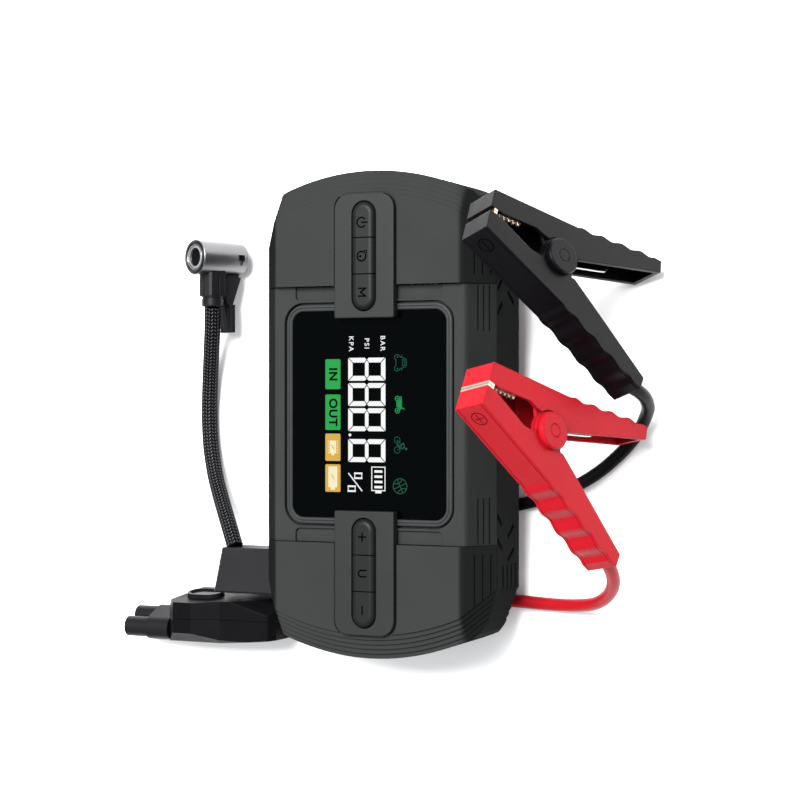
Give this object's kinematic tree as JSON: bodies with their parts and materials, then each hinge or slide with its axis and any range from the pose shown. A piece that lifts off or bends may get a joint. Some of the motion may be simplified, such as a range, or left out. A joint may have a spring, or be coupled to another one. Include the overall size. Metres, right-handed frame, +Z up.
{
  "type": "jump starter pack",
  "caption": "Car jump starter pack with a built-in tyre inflator, braided air hose with lever chuck, and plug-in red and black battery clamps.",
  "frame": {"origin": "on the supporting surface, under the middle of the housing, midway between its four feet", "axes": "+X along the housing towards the plus and minus buttons, +Y towards the battery clamps, +Z up out of the display"},
  "size_m": [0.2035, 0.2492, 0.1047],
  "materials": {
    "housing": "fine moulded texture, charcoal",
    "cap": "satin moulded charcoal",
    "bridge": "satin",
    "button": "soft satin",
    "bezel": "satin gloss",
    "lens": "polished black window",
    "panel": "segment display",
    "board": "solder mask",
    "cell": "pouch foil",
    "tray": "moulded",
    "cast": "machined casting",
    "steel": "brushed",
    "socket": "moulded",
    "socket_blue": "moulded blue",
    "brass": "plated",
    "soft_black": "soft rubber",
    "foot": "soft rubber",
    "braid": "braided sleeve with grey fleck",
    "dark_plastic": "satin black",
    "chuck_metal": "brushed",
    "module": "satin black",
    "indicator": "smoked lens",
    "clamp_black": "satin gloss black",
    "clamp_red": "satin gloss red",
    "copper": "copper plated",
    "spring": "drawn wire",
    "lead_black": "silicone insulation",
    "lead_red": "silicone insulation"
  },
  "bodies": {
    "housing": {"air_hose": "braid", "battery_cells": "cell", "battery_tray": "tray", "black_lead": "lead_black", "black_lower_arm": "clamp_black", "black_lower_jaw": "copper", "black_pivot": "clamp_black", "black_spring": "spring", "button_boards": "board", "button_bridge_left": "bridge", "button_bridge_right": "bridge", "case_screws": "steel", "chuck_barrel": "chuck_metal", "chuck_lever_pin": "steel", "chuck_neck": "dark_plastic", "chuck_seal": "soft_black", "compressor_frame": "cast", "cylinder": "cast", "cylinder_head": "cast", "display_bezel": "bezel", "display_lens": "lens", "display_panel": "panel", "end_cap_left": "cap", "end_cap_right": "cap", "front_shell": "housing", "hose_ferrule": "dark_plastic", "hose_root_block": "soft_black", "jump_socket": "socket_blue", "main_board": "board", "module_bottom_shell": "module", "module_lens": "indicator", "module_top_shell": "module", "motor_can": "steel", "plug_contacts": "brass", "plug_shell": "dark_plastic", "rear_shell": "housing", "red_lead": "lead_red", "red_lower_arm": "clamp_red", "red_lower_jaw": "copper", "red_pivot": "clamp_red", "red_spring": "spring", "rubber_feet": "foot", "socket_pins": "brass", "usb_ports": "socket"},
    "crank": {"crank_disc": "steel"},
    "rod": {"connecting_rod": "cast"},
    "piston": {"piston": "cast"},
    "cover": {"port_cover": "soft_black"},
    "lever": {"chuck_lever": "dark_plastic"},
    "black_upper": {"black_upper_arm": "clamp_black", "black_upper_jaw": "copper"},
    "red_upper": {"red_upper_arm": "clamp_red", "red_upper_jaw": "copper"},
    "button_power_key": {"button_power": "button"},
    "button_timer_key": {"button_timer": "button"},
    "button_mode_key": {"button_mode": "button"},
    "button_plus_key": {"button_plus": "button"},
    "button_unit_key": {"button_unit": "button"},
    "button_minus_key": {"button_minus": "button"}
  },
  "joints": [
    {"name": "power_press", "type": "slide", "parent": "housing", "child": "button_power_key", "axis": [0, 0, -1], "range_m": [0, 0.0008], "stiffness_N_per_m": 800, "springref_m": -0.0004},
    {"name": "timer_press", "type": "slide", "parent": "housing", "child": "button_timer_key", "axis": [0, 0, -1], "range_m": [0, 0.0008], "stiffness_N_per_m": 800, "springref_m": -0.0004},
    {"name": "mode_press", "type": "slide", "parent": "housing", "child": "button_mode_key", "axis": [0, 0, -1], "range_m": [0, 0.0008], "stiffness_N_per_m": 800, "springref_m": -0.0004},
    {"name": "plus_press", "type": "slide", "parent": "housing", "child": "button_plus_key", "axis": [0, 0, -1], "range_m": [0, 0.0008], "stiffness_N_per_m": 800, "springref_m": -0.0004},
    {"name": "unit_press", "type": "slide", "parent": "housing", "child": "button_unit_key", "axis": [0, 0, -1], "range_m": [0, 0.0008], "stiffness_N_per_m": 800, "springref_m": -0.0004},
    {"name": "minus_press", "type": "slide", "parent": "housing", "child": "button_minus_key", "axis": [0, 0, -1], "range_m": [0, 0.0008], "stiffness_N_per_m": 800, "springref_m": -0.0004},
    {"name": "chuck_lever_hinge", "type": "hinge", "parent": "housing", "child": "lever", "pos_m": [-0.0676, -0.08875, 0.00809], "axis": [0, 0.9063, 0.4226], "range_deg": [0, 90]},
    {"name": "cover_hinge", "type": "hinge", "parent": "housing", "child": "cover", "pos_m": [0.02, -0.0541, 0.0362], "axis": [-1, 0, 0], "range_deg": [0, 110]},
    {"name": "crank_spin", "type": "hinge", "parent": "housing", "child": "crank", "pos_m": [0.048, 0.018, 0.025], "axis": [1, 0, 0], "continuous": true},
    {"name": "crank_pin", "type": "hinge", "parent": "crank", "child": "rod", "pos_m": [0.057, 0.0215, 0.025], "axis": [1, 0, 0], "continuous": true},
    {"name": "piston_stroke", "type": "slide", "parent": "housing", "child": "piston", "axis": [0, -1, 0], "range_m": [0, 0.007]},
    {"name": "black_clamp_hinge", "type": "hinge", "parent": "housing", "child": "black_upper", "pos_m": [-0.0594, 0.0808, 0.0588], "axis": [0.3169, -0.8653, -0.3885], "range_deg": [0, 24], "stiffness_Nm_per_rad": 0.8, "springref_deg": -34.38, "deforming": ["black_spring"]},
    {"name": "red_clamp_hinge", "type": "hinge", "parent": "housing", "child": "red_upper", "pos_m": [0.0075, 0.0801, 0.0688], "axis": [0.1876, -0.9177, -0.3501], "range_deg": [0, 24], "stiffness_Nm_per_rad": 0.8, "springref_deg": -34.38, "deforming": ["red_spring"]}
  ],
  "couplings": [
    {"joint": "crank_pin", "follows": "crank_spin", "ratio": -1}
  ]
}
